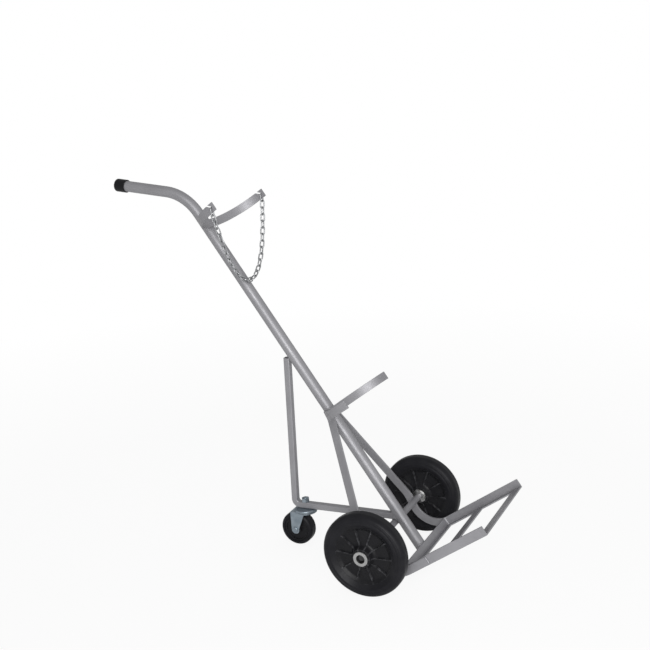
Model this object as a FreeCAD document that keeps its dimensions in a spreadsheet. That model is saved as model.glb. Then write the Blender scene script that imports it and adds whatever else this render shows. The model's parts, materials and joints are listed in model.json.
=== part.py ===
"""Two-wheeled gas cylinder cart with a swivel caster, a hook chain and a lattice toe."""
import math
import os
import re

import FreeCAD
import Part
import Sketcher

doc = FreeCAD.newDocument("cylinder_cart")
sheet = doc.addObject("Spreadsheet::Sheet", "sizes")

# Driving sizes, in millimetres and degrees.
SIZES = {
    # main wheels and axle
    "wheel_dia": 250, "tyre_width": 50, "tyre_depth": 39, "tyre_face": 25, "tyre_shoulder": 18,
    "tyre_lip": 4, "wheel_gap": 19, "axle_dia": 20, "rim_half_width": 16, "dish_wall": 12, "dish_round": 10,
    "groove_depth": 0.8, "groove_width": 2.6, "groove_pitch": 8, "groove_inset": 35.6, "groove_count": 4,
    "web_half_edge": 8, "web_half_root": 13, "web_root_dia": 70, "web_round": 14,
    "rib_count": 10, "rib_height": 5, "rib_thick": 3, "boss_end_dia": 54,
    "sleeve_dia": 43, "sleeve_bore_dia": 26, "hub_out": 36, "hub_recess": 14, "boss_short": 4,
    "washer_dia": 38, "washer_thick": 2.5, "retainer_thick": 1.5, "retainer_dia": 25,
    "axle_tip_inset": 9, "axle_chamfer": 1.5,
    # running play
    "bore_play": 0.05, "side_play": 0.3,
    # spine and handle
    "spine_od": 33.7, "spine_wall": 3.2, "spine_rise": 54.7, "bend_at": 1167, "bend_radius": 155,
    "spine_end_inset": 2, "handle_rise": 5.9, "handle_reach": 255,
    "cap_dia": 40, "cap_len": 38, "cap_end": 5, "cap_round": 5,
    # cradles
    "strip_width": 25, "strip_thick": 5, "cradle_half": 142, "lower_cradle_at": 377,
    "upper_cradle_at": 1050, "lower_cradle_reach": 146, "upper_cradle_reach": 148,
    "lower_cradle_bend": 120, "upper_cradle_bend": 126,
    "hook_inset": 9.5, "hook_depth": 11.5, "hook_slot": 5.6, "hook_round": 2.52, "hook_run": 17,
    # toe lattice
    "toe_drop": 106, "toe_width": 340, "toe_reach": 302, "toe_height": 28, "toe_thick": 4,
    "toe_flange": 20, "toe_bend": 9, "toe_bar_width": 32, "toe_mid_at": 160,
    # flat bar legs
    "leg_width": 25, "leg_thick": 6, "leg_corner": 0.8, "leg_notch": 2.5, "washer_gap": 14,
    "leg_top_along": 389, "leg_top_out": 3.4, "leg_top_run": 27, "leg_top_bend": 30,
    "leg_knee_along": 27.6, "leg_lean": 6.84, "leg_foot_reach": 98.7,
    "leg_knee_bend": 60, "leg_foot_bend": 80,
    # square tube strut
    "tube_size": 20, "tube_wall": 2, "tube_corner": 4,
    "strut_back": 335, "strut_corner_height": 131.6, "strut_bend": 17,
    "strut_seat_play": 0.05, "strut_bite": 4.8,
    # caster
    "kingpin_back": 300, "kingpin_dia": 14, "kingpin_hole_play": 0.2, "kingpin_head_dia": 20,
    "kingpin_head_thick": 3, "kingpin_tip": 2, "nut_flats": 22, "nut_thick": 12, "nut_chamfer": 1.2,
    "race_dia": 72, "race_thick": 2.5, "race_rim": 6.5, "race_rim_thick": 2.2, "race_bend": 2,
    "crown_drop": 9.5, "crown_dia": 66, "fork_thick": 3, "fork_gap": 43, "fork_end_radius": 13,
    "fork_tip_round": 12.35, "fork_bend": 4, "ball_dia": 6.4, "ball_circle_dia": 46, "ball_count": 14,
    "ball_seat": 0.05, "caster_dia": 106, "caster_width": 38, "caster_back": 329, "caster_tread": 12,
    "caster_round": 9.5, "caster_axle_dia": 10, "caster_bush_dia": 18, "caster_core_half": 15,
    "caster_web_half": 11, "caster_flange": 5, "caster_hub_dia": 34,
    "rivet_head_dia": 17, "rivet_head_thick": 3.2, "rivet_round": 2.56,
    # chain
    "chain_wire": 4, "chain_pitch": 20.5, "chain_link_width": 16.5, "chain_slack": 0.4,
    "chain_link_count": 29, "chain_lean": 6.3,
}

# Sizes that follow from the ones above.
FORMULAS = {
    "axle_height": "wheel_dia / 2",
    "track": "toe_width + 2 * (leg_thick + wheel_gap) + tyre_width",
    "rim_seat_dia": "wheel_dia - 2 * tyre_depth",
    "rim_lip_dia": "wheel_dia - 2 * tyre_face",
    "groove_first_dia": "wheel_dia - 2 * groove_inset",
    "caster_core_dia": "caster_dia - 2 * caster_tread",
    "spine_off": "(spine_od + axle_dia) / 2",
    "handle_back": "bend_at * cos(spine_rise) - spine_off * sin(spine_rise)"
                   " + (handle_reach - cap_round) * cos(handle_rise) + cap_round"
                   " + (cap_dia / 2 - cap_round) * sin(handle_rise)",
    "toe_front": "spine_off * sin(spine_rise) + (toe_drop + toe_height / 2) * cos(spine_rise)"
                 " + toe_reach * sin(spine_rise)",
    "axle_x": "(handle_back - toe_front) / 2",
    "spine_x": "axle_x + spine_off * sin(spine_rise)",
    "spine_z": "axle_height + spine_off * cos(spine_rise)",
    "spine_foot": "toe_drop + toe_height / 2 - spine_end_inset",
    "turn": "spine_rise - handle_rise",
    "handle_tube": "handle_reach - cap_end",
    "handle_x": "-handle_tube * sin(turn)",
    "handle_z": "bend_at + handle_tube * cos(turn)",
    "wheel_y": "track / 2",
    "leg_y": "(toe_width + leg_thick) / 2",
    "washer_y": "leg_y + leg_thick / 2 + washer_gap",
    "hub_in": "track / 2 - washer_y - washer_thick - side_play",
    "axle_half": "track / 2 + hub_out - axle_tip_inset",
    "retainer_y": "track / 2 + hub_out - hub_recess + side_play",
    "strut_tilt": "asin((axle_height + (axle_dia + tube_size) / 2 + strut_seat_play - strut_corner_height)"
                  " / strut_back)",
    "strut_x": "axle_x - strut_back",
    "kingpin_run": "(strut_back - kingpin_back) / cos(strut_tilt)",
    "mount_x": "axle_x - kingpin_back + tube_size / 2 * sin(strut_tilt)",
    "mount_z": "strut_corner_height + kingpin_run * sin(strut_tilt) - tube_size / 2 * cos(strut_tilt)",
    "caster_dx": "kingpin_back - caster_back",
    "caster_dz": "caster_dia / 2 - mount_z",
    "wheel_along": "(caster_dx - tube_size / 2 * sin(strut_tilt)) * cos(strut_tilt)"
                   " + caster_dz * sin(strut_tilt)",
    "wheel_below": "(caster_dx - tube_size / 2 * sin(strut_tilt)) * sin(strut_tilt)"
                   " - caster_dz * cos(strut_tilt)",
    "fork_half": "fork_gap / 2",
    "hook_along": "upper_cradle_at + strip_width / 2 - hook_depth",
    "hook_out": "upper_cradle_reach - hook_inset",
    "hook_step": "hook_slot * sqrt(0.5)",
    "hook_x": "spine_x - hook_along * cos(spine_rise) + hook_out * sin(spine_rise)",
    "hook_z": "spine_z + hook_along * sin(spine_rise) + hook_out * cos(spine_rise)",
    "post_top": "spine_z + (spine_x - strut_x - tube_size / 2) * tan(spine_rise)"
                " - spine_od / 2 / cos(spine_rise) + strut_bite - strut_corner_height",
    "foot_run": "(spine_x - strut_x + (spine_z - strut_corner_height) / tan(spine_rise))"
                " / (cos(strut_tilt) + sin(strut_tilt) / tan(spine_rise))",
}


def fill_sheet():
    """Write every size to the sheet under its own name."""
    row = 1
    for table, lead in ((SIZES, ""), (FORMULAS, "=")):
        for name, entry in table.items():
            sheet.set("A%d" % row, name)
            sheet.set("B%d" % row, lead + str(entry))
            sheet.setAlias("B%d" % row, name)
            row += 1
    doc.recompute()


fill_sheet()
NAMES = set(SIZES) | set(FORMULAS)


def val(name):
    """Current number of one sheet size."""
    entry = getattr(sheet, name)
    return float(getattr(entry, "Value", entry))


def ref(text):
    """Expression text with each size name pointed at the sheet."""
    return re.sub(r"[a-z][a-z_]*",
                  lambda m: "sizes." + m.group() if m.group() in NAMES else m.group(), str(text))


def num(text):
    """Value of an expression over the sheet sizes, found by the document itself."""
    return float(sheet.evalExpression(ref(text)))


def bind(obj, prop, text):
    obj.setExpression(prop, ref(text))


def place(obj, x="0", y="0", z="0", axis="0; 1; 0", angle="0"):
    """Bind an object's placement to the sheet."""
    spot = "create(<<vector>>; %s; %s; %s)" % (ref(x), ref(y), ref(z))
    spin = "create(<<rotation>>; create(<<vector>>; %s); %s)" % (axis, ref(angle))
    obj.setExpression("Placement", "create(<<placement>>; %s; %s)" % (spot, spin))


def on_spine(obj):
    """Local Z runs up the spine and local X points to the load side."""
    place(obj, "spine_x", "0", "spine_z", angle="spine_rise - 90")


def on_strut(obj):
    """Local Z is the strut foot's normal at the kingpin, local X runs forward along the foot."""
    place(obj, "mount_x", "0", "mount_z", angle="-strut_tilt")


def new_body(label):
    body = doc.addObject("PartDesign::Body", label)
    body.Label = label
    return body


def plane_of(body, role):
    return next(f for f in body.Origin.OriginFeatures if f.Role == role)


def pin(sk, geo, pos, x, y):
    """Tie one sketch point to two size expressions."""
    for kind, text, axis in (("DistanceX", x, -2), ("DistanceY", y, -1)):
        if str(text) == "0":
            sk.addConstraint(Sketcher.Constraint("PointOnObject", geo, pos, axis))
            continue
        index = sk.addConstraint(Sketcher.Constraint(kind, geo, pos, num(text)))
        sk.setExpression("Constraints[%d]" % index, ref(text))


def draw(sk, corners, closed=True):
    """Draw a polyline; a corner is (x, y) or (x, y, bend radius)."""
    spots = [FreeCAD.Vector(num(c[0]), num(c[1]), 0) for c in corners]
    count = len(corners)
    starts, ends, arcs, first = list(spots), list(spots), {}, {}
    for i, (_, _, *bend) in enumerate(corners):
        if not bend:
            continue
        back = (spots[i - 1] - spots[i]).normalize()
        ahead = (spots[(i + 1) % count] - spots[i]).normalize()
        half = back.getAngle(ahead) / 2
        radius = num(bend[0])
        reach = radius / math.tan(half)
        ends[i] = spots[i] + back * reach
        starts[i] = spots[i] + ahead * reach
        centre = spots[i] + (back + ahead).normalize() * (radius / math.sin(half))
        middle = centre + (spots[i] - centre).normalize() * radius
        first[i] = 1 if back.cross(ahead).z < 0 else 2
        tips = (ends[i], starts[i]) if first[i] == 1 else (starts[i], ends[i])
        arcs[i] = sk.addGeometry(Part.Arc(tips[0], middle, tips[1]), False)
    sides = count if closed else count - 1
    lines = {}
    for i in range(sides):
        lines[i] = sk.addGeometry(Part.LineSegment(starts[i], ends[(i + 1) % count]), False)
    for i, corner in enumerate(corners):
        before = lines.get((i - 1) % count if closed else i - 1)
        after = lines.get(i)
        if i not in arcs:
            if before is not None and after is not None:
                sk.addConstraint(Sketcher.Constraint("Coincident", before, 2, after, 1))
            pin(sk, *((after, 1) if after is not None else (before, 2)), corner[0], corner[1])
            continue
        sk.addConstraint(Sketcher.Constraint("Tangent", before, 2, arcs[i], first[i]))
        sk.addConstraint(Sketcher.Constraint("Tangent", arcs[i], 3 - first[i], after, 1))
        index = sk.addConstraint(Sketcher.Constraint("Radius", arcs[i], num(corner[2])))
        sk.setExpression("Constraints[%d]" % index, ref(corner[2]))
        peak = sk.addGeometry(Part.Point(spots[i]), True)
        sk.addConstraint(Sketcher.Constraint("PointOnObject", peak, 1, before))
        sk.addConstraint(Sketcher.Constraint("PointOnObject", peak, 1, after))
        pin(sk, peak, 1, corner[0], corner[1])


def add_circle(sk, x, y, dia):
    centre = FreeCAD.Vector(num(x), num(y), 0)
    geo = sk.addGeometry(Part.Circle(centre, FreeCAD.Vector(0, 0, 1), num(dia) / 2), False)
    pin(sk, geo, 3, x, y)
    index = sk.addConstraint(Sketcher.Constraint("Diameter", geo, num(dia)))
    sk.setExpression("Constraints[%d]" % index, ref(dia))


def sketch(body, role, loops=(), circles=(), offset="0", closed=True):
    """Sketch on one of the body's own planes, lifted by an offset."""
    sk = body.newObject("Sketcher::SketchObject", "profile")
    sk.AttachmentSupport = [(plane_of(body, role), "")]
    sk.MapMode = "FlatFace"
    if offset != "0":
        bind(sk, "AttachmentOffset.Base.z", offset)
    for loop in loops:
        draw(sk, loop, closed)
    for circle in circles:
        add_circle(sk, *circle)
    sk.Visibility = False
    return sk


def pad(body, sk, length, both=False, back=False):
    feature = body.newObject("PartDesign::Pad", "pad")
    feature.Profile = sk
    bind(feature, "Length", length)
    feature.SideType = "Symmetric" if both else "One side"
    feature.Reversed = back
    return feature


def pocket_through(body, sk):
    """Cut a profile right through, both ways."""
    feature = body.newObject("PartDesign::Pocket", "pocket")
    feature.Profile = sk
    feature.SideType = "Symmetric"
    feature.Type = "ThroughAll"
    return feature


def revolve(body, sk, axis="V_Axis", kind="Revolution"):
    feature = body.newObject("PartDesign::" + kind, kind.lower())
    feature.Profile = sk
    feature.ReferenceAxis = (sk, [axis])
    feature.Angle = 360
    return feature


def box(x0, y0, x1, y1):
    return [(x0, y0), (x1, y0), (x1, y1), (x0, y1)]


def square(half, corner):
    """Rounded square tube outline."""
    low = "-(%s)" % half
    return [(low, low, corner), (half, low, corner), (half, half, corner), (low, half, corner)]


def pipe(body, section, path):
    feature = body.newObject("PartDesign::AdditivePipe", "pipe")
    feature.Profile = section
    feature.Spine = path
    return feature


def cylinder(label, radius, length):
    """Plain round bar along local Z."""
    obj = doc.addObject("Part::Cylinder", label)
    obj.Label = label
    bind(obj, "Radius", radius)
    bind(obj, "Height", length)
    return obj


def cut(label, base, tool):
    obj = doc.addObject("Part::Cut", label)
    obj.Label = label
    obj.Base = base
    obj.Tool = tool
    return obj


NODES = []


def keep(obj):
    """Count an object among the finished nodes."""
    NODES.append(obj)
    return obj


# Spine pipe and handle cap.
def build_spine():
    body = new_body("spine_tube")
    path = sketch(body, "XZ_Plane", [[("0", "-spine_foot"), ("0", "bend_at", "bend_radius"),
                                      ("handle_x", "handle_z")]], closed=False)
    rings = [("0", "0", "spine_od"), ("0", "0", "spine_od - 2 * spine_wall")]
    section = sketch(body, "XY_Plane", circles=rings,
                     offset="-spine_foot")
    pipe(body, section, path)
    on_spine(body)
    keep(body)
    cap = new_body("handle_cap")
    bore, rim, mouth = "spine_od / 2", "cap_dia / 2", "cap_end - cap_len"
    section = sketch(cap, "XZ_Plane", [[("0", "0"), (bore, "0"), (bore, mouth), (rim, mouth),
                                        (rim, "cap_end", "cap_round"), ("0", "cap_end")]])
    revolve(cap, section)
    place(cap, "spine_x - bend_at * cos(spine_rise) - handle_tube * cos(handle_rise)", "0",
          "spine_z + bend_at * sin(spine_rise) + handle_tube * sin(handle_rise)", angle="handle_rise - 90")
    keep(cap)


# Flat strip bent to a U, its back against the spine.
def build_strip(label, along, width, thick, half, reach, bend):
    body = new_body(label)
    rear, front = "spine_od / 2", "spine_od / 2 + " + thick
    far, near = "%s + %s / 2" % (half, thick), "%s - %s / 2" % (half, thick)
    wide, tight = "%s + %s / 2" % (bend, thick), "%s - %s / 2" % (bend, thick)
    outline = [(reach, "-(%s)" % far), (rear, "-(%s)" % far, wide), (rear, far, wide), (reach, far),
               (reach, near), (front, near, tight), (front, "-(%s)" % near, tight), (reach, "-(%s)" % near)]
    pad(body, sketch(body, "XY_Plane", [outline], offset=along), width, both=True)
    on_spine(body)
    return keep(body)


def build_cradles():
    upper = build_strip("upper_cradle", "upper_cradle_at", "strip_width", "strip_thick", "cradle_half",
                        "upper_cradle_reach", "upper_cradle_bend")
    up = "hook_along + hook_run"
    slot = [("hook_out", "hook_along - hook_step", "hook_round"),
            ("hook_out + hook_step", "hook_along", "hook_round"),
            ("hook_out + hook_step - hook_run", up), ("hook_out - hook_run", up + " - hook_step")]
    pocket_through(upper, sketch(upper, "XZ_Plane", [slot]))
    build_strip("lower_cradle", "lower_cradle_at", "strip_width", "strip_thick", "cradle_half",
                "lower_cradle_reach", "lower_cradle_bend")


def build_toe():
    """Angle section round three sides, with flat bars between its lower flanges."""
    outer, inner = "(toe_width - toe_thick) / 2", "toe_width / 2 - toe_flange"
    rear, front = "(spine_od + toe_thick) / 2", "spine_od / 2 + toe_flange"
    under = "-toe_drop - toe_height / 2"
    frame = build_strip("toe_frame", "-toe_drop", "toe_height", "toe_thick", outer, "toe_reach", "toe_bend")
    flange = [("toe_reach", "-(%s)" % outer), (rear, "-(%s)" % outer, "toe_bend"), (rear, outer, "toe_bend"),
              ("toe_reach", outer), ("toe_reach", inner), (front, inner), (front, "-(%s)" % inner),
              ("toe_reach", "-(%s)" % inner)]
    pad(frame, sketch(frame, "XY_Plane", [flange], offset=under), "toe_thick")
    for label, tip in (("toe_mid_bar", "toe_mid_at"), ("toe_front_bar", "toe_reach")):
        body = new_body(label)
        outline = box(tip + " - toe_bar_width", "-(%s)" % inner, tip, inner)
        pad(body, sketch(body, "XY_Plane", [outline], offset=under), "toe_thick")
        on_spine(body)
        keep(body)


# Flat bar legs: broad side on the spine, bent out to the axle, then forward along the toe.
def bar_outline(centre, thick, width, corner):
    """Closed outline across local X, with rounded corners."""
    knees = [FreeCAD.Vector(0, y * (thick / 2 - corner), z * (width / 2 - corner))
             for y, z in ((1, -1), (1, 1), (-1, 1), (-1, -1))]

    def spot(i, degrees):
        turn = math.radians(degrees)
        return centre + knees[i % 4] + FreeCAD.Vector(0, math.cos(turn), math.sin(turn)) * corner

    edges = []
    for i in range(4):
        start = 90 * (i - 1)
        edges.append(Part.Arc(spot(i, start), spot(i, start + 45), spot(i, start + 90)).toShape())
        edges.append(Part.LineSegment(spot(i, start + 90), spot(i + 1, start + 90)).toShape())
    return Part.Wire(edges)


def bent_path(points, radii):
    """Straight runs joined by tangent bends."""
    edges = []
    start = points[0]
    for i, radius in enumerate(radii):
        knee = points[i + 1]
        back = (points[i] - knee).normalize()
        ahead = (points[i + 2] - knee).normalize()
        half = back.getAngle(ahead) / 2
        first = knee + back * (radius / math.tan(half))
        last = knee + ahead * (radius / math.tan(half))
        centre = knee + (back + ahead).normalize() * (radius / math.sin(half))
        middle = centre + (knee - centre).normalize() * radius
        edges.append(Part.LineSegment(start, first).toShape())
        edges.append(Part.Arc(first, middle, last).toShape())
        start = last
    edges.append(Part.LineSegment(start, points[-1]).toShape())
    return Part.Wire(edges)


def swept(path, outline):
    """Bar that keeps its broad faces in line with local Y as it bends."""
    shell = Part.BRepOffsetAPI.MakePipeShell(path)
    shell.setBiNormalMode(FreeCAD.Vector(0, 1, 0))
    shell.add(outline)
    shell.build()
    shell.makeSolid()
    return shell.shape()


def build_legs():
    lean = math.radians(val("leg_lean"))
    down = FreeCAD.Vector(-math.sin(lean), 0, -math.cos(lean))
    behind = FreeCAD.Vector(-math.cos(lean), 0, math.sin(lean))
    set_back = (val("axle_dia") + val("leg_width")) / 2 - val("leg_notch")
    line = FreeCAD.Vector(-val("spine_off"), val("leg_y"), 0) + behind * set_back
    knee = line + down * ((val("leg_knee_along") - line.z) / down.z)
    foot = line + down * ((-val("toe_drop") - line.z) / down.z)
    end = FreeCAD.Vector(val("leg_foot_reach"), val("leg_y"), -val("toe_drop"))
    seat = (val("spine_od") + val("leg_thick")) / 2 + val("bore_play")
    top = FreeCAD.Vector(val("leg_top_out"), seat, val("leg_top_along"))
    hip = top + FreeCAD.Vector(knee.x - top.x, 0, knee.z - top.z).normalize() * val("leg_top_run")
    path = bent_path([end, foot, knee, hip, top],
                     [val("leg_foot_bend"), val("leg_knee_bend"), val("leg_top_bend")])
    bar = swept(path, bar_outline(end, val("leg_thick"), val("leg_width"), val("leg_corner")))
    axle_space = Part.makeCylinder(val("axle_dia") / 2 + val("bore_play"), val("track"),
                                   FreeCAD.Vector(-val("spine_off"), 0, 0), FreeCAD.Vector(0, 1, 0))
    left = doc.addObject("Part::Feature", "left_leg")
    left.Label = "left_leg"
    left.Shape = bar.cut(axle_space).removeSplitter()
    on_spine(left)
    keep(left)
    right = doc.addObject("Part::Mirroring", "right_leg")
    right.Label = "right_leg"
    right.Source = left
    right.Normal = FreeCAD.Vector(0, 1, 0)
    keep(right)


# Rear strut: upright post and foot in one bent tube, coped to the spine and drilled for the kingpin.
def build_strut():
    body = new_body("strut_tube")
    line = [("0", "post_top"), ("0", "0", "strut_bend"),
            ("foot_run * cos(strut_tilt)", "foot_run * sin(strut_tilt)")]
    path = sketch(body, "XZ_Plane", [line], closed=False)
    outer = square("tube_size / 2", "tube_corner")
    inner = square("tube_size / 2 - tube_wall", "tube_corner - tube_wall")
    pipe(body, sketch(body, "XY_Plane", [outer, inner], offset="post_top"), path)
    place(body, "strut_x", "0", "strut_corner_height")
    spine_space = cylinder("spine_space", "spine_od / 2", "bend_at")
    place(spine_space, "spine_x + spine_foot * cos(spine_rise)", "0",
          "spine_z - spine_foot * sin(spine_rise)",
          angle="spine_rise - 90")
    bolt_space = cylinder("bolt_space", "kingpin_dia / 2 + kingpin_hole_play", "2 * tube_size")
    place(bolt_space, "mount_x + tube_size / 2 * sin(strut_tilt)", "0",
          "mount_z - tube_size / 2 * cos(strut_tilt)",
          angle="-strut_tilt")
    keep(cut("rear_strut", cut("coped_strut", body, spine_space), bolt_space))


# Axle with its washers and retaining rings.
def at_axle(obj, side="0", angle="0"):
    place(obj, "axle_x", side, "axle_height", axis="0; 0; 1", angle=angle)


def build_axle():
    body = new_body("axle")
    rim, tip = "axle_dia / 2", "axle_half - axle_chamfer"
    outline = [("0", "-axle_half"), (rim + " - axle_chamfer", "-axle_half"), (rim, "-(%s)" % tip), (rim, tip),
               (rim + " - axle_chamfer", "axle_half"), ("0", "axle_half")]
    revolve(body, sketch(body, "XY_Plane", [outline]))
    at_axle(body)
    keep(body)
    for label, near, thick, outer, inner in (
            ("axle_washers", "washer_y", "washer_thick", "washer_dia / 2", rim + " + bore_play"),
            ("axle_retainers", "retainer_y", "retainer_thick", "retainer_dia / 2", rim)):
        body = new_body(label)
        body.AllowCompound = True
        edge = "%s + %s" % (near, thick)
        loops = [box(inner, near, outer, edge), box(inner, "-(%s)" % edge, outer, "-" + near)]
        revolve(body, sketch(body, "XY_Plane", loops))
        at_axle(body)
        keep(body)


# Half width of the tyre at a radius, where its shoulder rounds off.
def tyre_wall(radius):
    bulge = "max(0; %s - wheel_dia / 2 + tyre_shoulder)" % radius
    return "tyre_width / 2 - tyre_shoulder + sqrt(tyre_shoulder ^ 2 - %s ^ 2)" % bulge


# One main wheel; local Y points away from the cart.
def build_wheel(side, offset, angle):
    tyre = new_body(side + "_tyre")
    tread, half = "wheel_dia / 2", "tyre_width / 2"
    seat, lip = "rim_seat_dia / 2", "rim_lip_dia / 2"
    outline = [(seat, "-rim_half_width"), (lip, "-" + half, "tyre_lip"), (tread, "-" + half, "tyre_shoulder"),
               (tread, half, "tyre_shoulder"), (lip, half, "tyre_lip"), (seat, "rim_half_width")]
    revolve(tyre, sketch(tyre, "XY_Plane", [outline]))
    rings = []
    for i in range(int(val("groove_count"))):
        middle = "groove_first_dia / 2 + groove_width / 2 + groove_pitch * %d" % i
        inner, outer = middle + " - groove_width", middle + " + groove_width"
        floor = tyre_wall(middle) + " - groove_depth"
        start, stop = tyre_wall(inner) + " + groove_depth", tyre_wall(outer) + " + groove_depth"
        rings.append([(inner, start), (middle, floor), (outer, stop)])
        rings.append([(inner, "-(%s)" % start), (outer, "-(%s)" % stop), (middle, "-(%s)" % floor)])
    revolve(tyre, sketch(tyre, "XY_Plane", rings), kind="Groove")
    rim = new_body(side + "_rim")
    bore, boss, root = "sleeve_dia / 2", "boss_end_dia / 2", "web_root_dia / 2"
    shelf = seat + " - dish_wall"
    far, near = "hub_out - boss_short", "-(hub_in - boss_short)"
    outline = [(bore, near), (boss, near), (root, "-web_half_root", "web_round"),
               (shelf, "-web_half_edge", "dish_round"), (seat, "-rim_half_width"), (seat, "rim_half_width"),
               (shelf, "web_half_edge", "dish_round"), (root, "web_half_root", "web_round"),
               (boss, far), (bore, far)]
    revolve(rim, sketch(rim, "XY_Plane", [outline]))
    heel, toe = "web_half_root + rib_height", "web_half_edge + rib_height"
    start = root + " - rib_height"
    stop = shelf + " + rib_height * dish_wall / (rim_half_width - web_half_edge) + rib_thick / 2"
    fin = [(start, "-(%s)" % heel), (stop, "-(%s)" % toe), (stop, toe), (start, heel)]
    rib = sketch(rim, "XY_Plane", [fin])
    fin = pad(rim, rib, "rib_thick", both=True)
    fan = rim.newObject("PartDesign::PolarPattern", "ribs")
    fan.Originals = [fin]
    fan.Axis = (rib, ["V_Axis"])
    fan.Angle = 360
    bind(fan, "Occurrences", "rib_count")
    rim.Tip = fan
    sleeve = new_body(side + "_hub_sleeve")
    revolve(sleeve, sketch(sleeve, "XY_Plane", [box("sleeve_bore_dia / 2", "-hub_in", bore, "hub_out")]))
    bush = new_body(side + "_hub_bush")
    revolve(bush, sketch(bush, "XY_Plane", [box("axle_dia / 2 + bore_play", "-hub_in", "sleeve_bore_dia / 2",
                                                "hub_out - hub_recess")]))
    for obj in (tyre, rim, sleeve, bush):
        at_axle(obj, offset, angle)
        keep(obj)


# Swivel caster under the strut foot.
def build_caster_mount():
    pin_body = new_body("caster_kingpin")
    shaft, head = "kingpin_dia / 2", "kingpin_head_dia / 2"
    under = "-(crown_drop + fork_thick + side_play)"
    tip = "tube_size + nut_thick + kingpin_tip"
    outline = [("0", under + " - kingpin_head_thick"), (head, under + " - kingpin_head_thick"), (head, under),
               (shaft, under), (shaft, tip + " - kingpin_tip / 2"),
               (shaft + " - kingpin_tip / 2", tip), ("0", tip)]
    revolve(pin_body, sketch(pin_body, "XZ_Plane", [outline]))
    nut = new_body("caster_nut")
    across = "nut_flats / 2"
    corner = "nut_flats / sqrt(3)"
    hexagon = [(corner, "0"), (corner + " / 2", across), ("-%s / 2" % corner, across), ("-" + corner, "0"),
               ("-%s / 2" % corner, "-" + across), (corner + " / 2", "-" + across)]
    pad(nut, sketch(nut, "XY_Plane", [hexagon], [("0", "0", "kingpin_dia")], offset="tube_size"), "nut_thick")
    top = "tube_size + nut_thick"
    chamfer = sketch(nut, "XZ_Plane", [[(corner + " - nut_chamfer", top), (corner + " + nut_chamfer", top),
                                        (corner + " + nut_chamfer", top + " - nut_chamfer")]])
    revolve(nut, chamfer, kind="Groove")
    race = new_body("caster_race")
    hole, rim = "kingpin_dia / 2", "race_dia / 2"
    outline = [(hole, "0"), (rim, "0", "race_bend"),
               (rim, "-race_rim"), (rim + " - race_rim_thick", "-race_rim"),
               (rim + " - race_rim_thick", "-race_thick"), (hole, "-race_thick")]
    revolve(race, sketch(race, "XZ_Plane", [outline]))
    for obj in (pin_body, nut, race):
        on_strut(obj)
        keep(obj)
    balls = []
    for i in range(int(val("ball_count"))):
        ball = doc.addObject("Part::Sphere", "ball")
        bind(ball, "Radius", "ball_dia / 2")
        step = "360 / ball_count * %d" % i
        place(ball, "ball_circle_dia / 2 * cos(%s)" % step, "ball_circle_dia / 2 * sin(%s)" % step,
              "ball_dia / 2 - crown_drop - ball_seat")
        balls.append(ball)
    group = doc.addObject("Part::Compound", "caster_balls")
    group.Label = "caster_balls"
    group.Links = balls
    on_strut(group)
    keep(group)


def build_fork():
    fork = new_body("caster_fork")
    wide = "fork_half + fork_thick"
    rear, front = "wheel_along - fork_end_radius", "fork_bend"
    level = "-crown_drop - fork_thick"
    pad(fork, sketch(fork, "XY_Plane", circles=[("0", "0", "crown_dia")], offset=level), "fork_thick")
    root = box(rear, "-(%s)" % wide, front, wide)
    pad(fork, sketch(fork, "XY_Plane", [root], offset=level), "fork_thick")
    right = "wheel_along + fork_end_radius"
    low = "-wheel_below - fork_end_radius"
    leg = [(rear, "-crown_drop"), (front, "-crown_drop"), (right, "-wheel_below + fork_bend"),
           (right, low, "fork_tip_round"), (rear, low, "fork_tip_round")]
    for offset in ("fork_half", "-(%s)" % wide):
        pad(fork, sketch(fork, "XZ_Plane", [leg], offset=offset), "fork_thick")
    pocket_through(fork, sketch(fork, "XY_Plane", circles=[("0", "0", "kingpin_dia + 2 * bore_play")]))
    axle_hole = ("wheel_along", "-wheel_below", "caster_axle_dia")
    pocket_through(fork, sketch(fork, "XZ_Plane", circles=[axle_hole]))
    on_strut(fork)
    keep(fork)


def at_caster(obj):
    place(obj, "axle_x - caster_back", "0", "caster_dia / 2")


def build_caster_wheel():
    rivet = new_body("caster_axle")
    shaft, head = "caster_axle_dia / 2", "rivet_head_dia / 2"
    face = "fork_half + fork_thick"
    end = face + " + rivet_head_thick"
    soft = "rivet_round"
    outline = [("0", "-(%s)" % end), (head, "-(%s)" % end, soft),
               (head, "-(%s)" % face), (shaft, "-(%s)" % face),
               (shaft, face), (head, face), (head, end, soft), ("0", end)]
    revolve(rivet, sketch(rivet, "XY_Plane", [outline]))
    tyre = new_body("caster_tyre")
    tread, half, seat = "caster_dia / 2", "caster_width / 2", "caster_core_dia / 2"
    lip = seat + " + (caster_width / 2 - caster_core_half) / 2"
    outline = [(seat, "-caster_core_half"), (lip, "-" + half), (tread, "-" + half, "caster_round"),
               (tread, half, "caster_round"), (lip, half), (seat, "caster_core_half")]
    revolve(tyre, sketch(tyre, "XY_Plane", [outline]))
    core = new_body("caster_core")
    bore, boss = "caster_bush_dia / 2", "caster_hub_dia / 2"
    shelf = seat + " - caster_flange"
    outline = [(bore, "-" + half), (boss, "-" + half),
               (boss, "-caster_web_half"), (shelf, "-caster_web_half"),
               (shelf, "-caster_core_half"), (seat, "-caster_core_half"), (seat, "caster_core_half"),
               (shelf, "caster_core_half"), (shelf, "caster_web_half"),
               (boss, "caster_web_half"), (boss, half),
               (bore, half)]
    revolve(core, sketch(core, "XY_Plane", [outline]))
    bush = new_body("caster_bush")
    reach = "fork_half - side_play"
    revolve(bush, sketch(bush, "XY_Plane", [box(shaft + " + bore_play", "-(%s)" % reach, bore, reach)]))
    for obj in (rivet, tyre, core, bush):
        at_caster(obj)
        keep(obj)


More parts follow.
